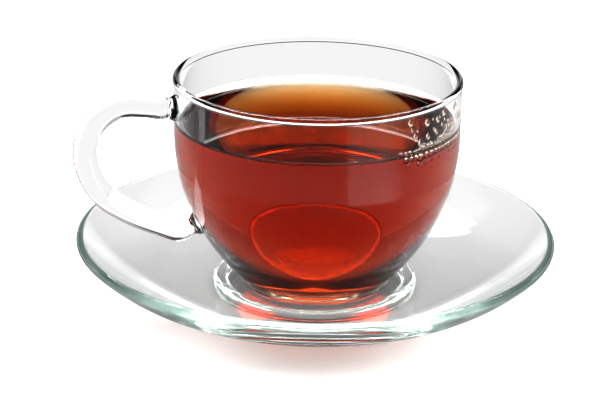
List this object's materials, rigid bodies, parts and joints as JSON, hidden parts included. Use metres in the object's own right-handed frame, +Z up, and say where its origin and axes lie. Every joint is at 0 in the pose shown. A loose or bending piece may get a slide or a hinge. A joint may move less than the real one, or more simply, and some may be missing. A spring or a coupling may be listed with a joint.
{
  "type": "glass tea cup with saucer",
  "caption": "Clear glass tea cup with a bent rod handle, filled with black tea and standing in the well of its clear glass saucer.",
  "frame": {"origin": "middle of the saucer's foot ring, on the table under the axis of the cup and saucer", "axes": "+Z up along the axis of the cup and saucer; the cup's handle points to -X; +Y is away from a viewer who has the handle on the left"},
  "size_m": [0.1533, 0.1524, 0.0732],
  "materials": {
    "saucer_glass": "clear pressed glass, faintly green at the lip",
    "cup_glass": "clear, thin, fire-polished at the rim",
    "tea": "clear red-brown liquid"
  },
  "bodies": {
    "root": {"saucer": "saucer_glass", "cup": "cup_glass", "tea": "tea"}
  },
  "joints": []
}
